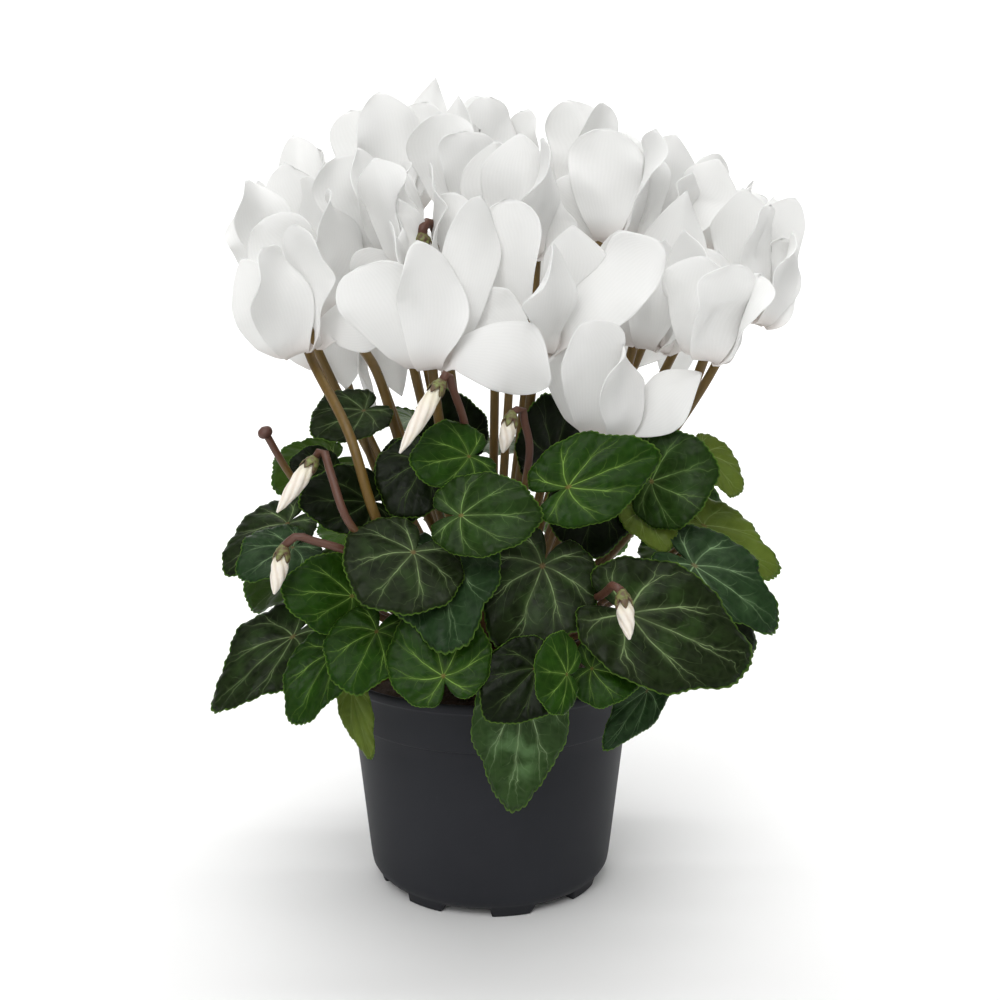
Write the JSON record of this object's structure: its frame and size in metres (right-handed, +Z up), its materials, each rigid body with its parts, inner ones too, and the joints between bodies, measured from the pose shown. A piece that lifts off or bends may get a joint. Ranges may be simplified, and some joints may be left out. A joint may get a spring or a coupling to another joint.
{
  "type": "potted cyclamen",
  "caption": "Cyclamen in full bloom: swept-back white flowers and nodding buds on bare stalks over heart-shaped marbled leaves, in a dark tapered nursery pot on short feet.",
  "frame": {"origin": "on the ground under the middle of the whole plant's box; the pot's axis stands at x -10.6 mm, y -6.5 mm", "axes": "+Z up along the pot's axis; -Y is the side that the picture shows, with +X to its right"},
  "size_m": [0.2348, 0.2382, 0.3333],
  "materials": {
    "pot": "moulded plastic, semi-matt",
    "soil": "loose peat potting soil, matt",
    "stalk": "olive brown skin, satin",
    "leaf": "leathery leaf, satin, with silvery marbling",
    "petal": "thin petal, matt, translucent",
    "bud": "closed petals, matt"
  },
  "bodies": {
    "root": {"bud_1": "bud", "bud_2": "bud", "bud_3": "bud", "bud_4": "bud", "bud_5": "bud", "flower_01_08_09_11_25": "petal", "flower_02": "petal", "flower_03_04_05_06_19": "petal", "flower_07_17_18_20": "petal", "flower_10_13": "petal", "flower_12": "petal", "flower_14_15_16": "petal", "flower_21": "petal", "flower_22": "petal", "flower_23": "petal", "flower_24": "petal", "leaf_01": "leaf", "leaf_02": "leaf", "leaf_03": "leaf", "leaf_04_05_26": "leaf", "leaf_06": "leaf", "leaf_07": "leaf", "leaf_08": "leaf", "leaf_09": "leaf", "leaf_10_44": "leaf", "leaf_11": "leaf", "leaf_12": "leaf", "leaf_13": "leaf", "leaf_14": "leaf", "leaf_15": "leaf", "leaf_16": "leaf", "leaf_17": "leaf", "leaf_18": "leaf", "leaf_19_32_43": "leaf", "leaf_20": "leaf", "leaf_21": "leaf", "leaf_22": "leaf", "leaf_23_27": "leaf", "leaf_24": "leaf", "leaf_25": "leaf", "leaf_28": "leaf", "leaf_29": "leaf", "leaf_30": "leaf", "leaf_31": "leaf", "leaf_33": "leaf", "leaf_34": "leaf", "leaf_35": "leaf", "leaf_36": "leaf", "leaf_37": "leaf", "leaf_38": "leaf", "leaf_39": "leaf", "leaf_40": "leaf", "leaf_41": "leaf", "leaf_42": "leaf", "pot": "pot", "soil": "soil", "tuber_and_stalks": "stalk"}
  },
  "joints": []
}
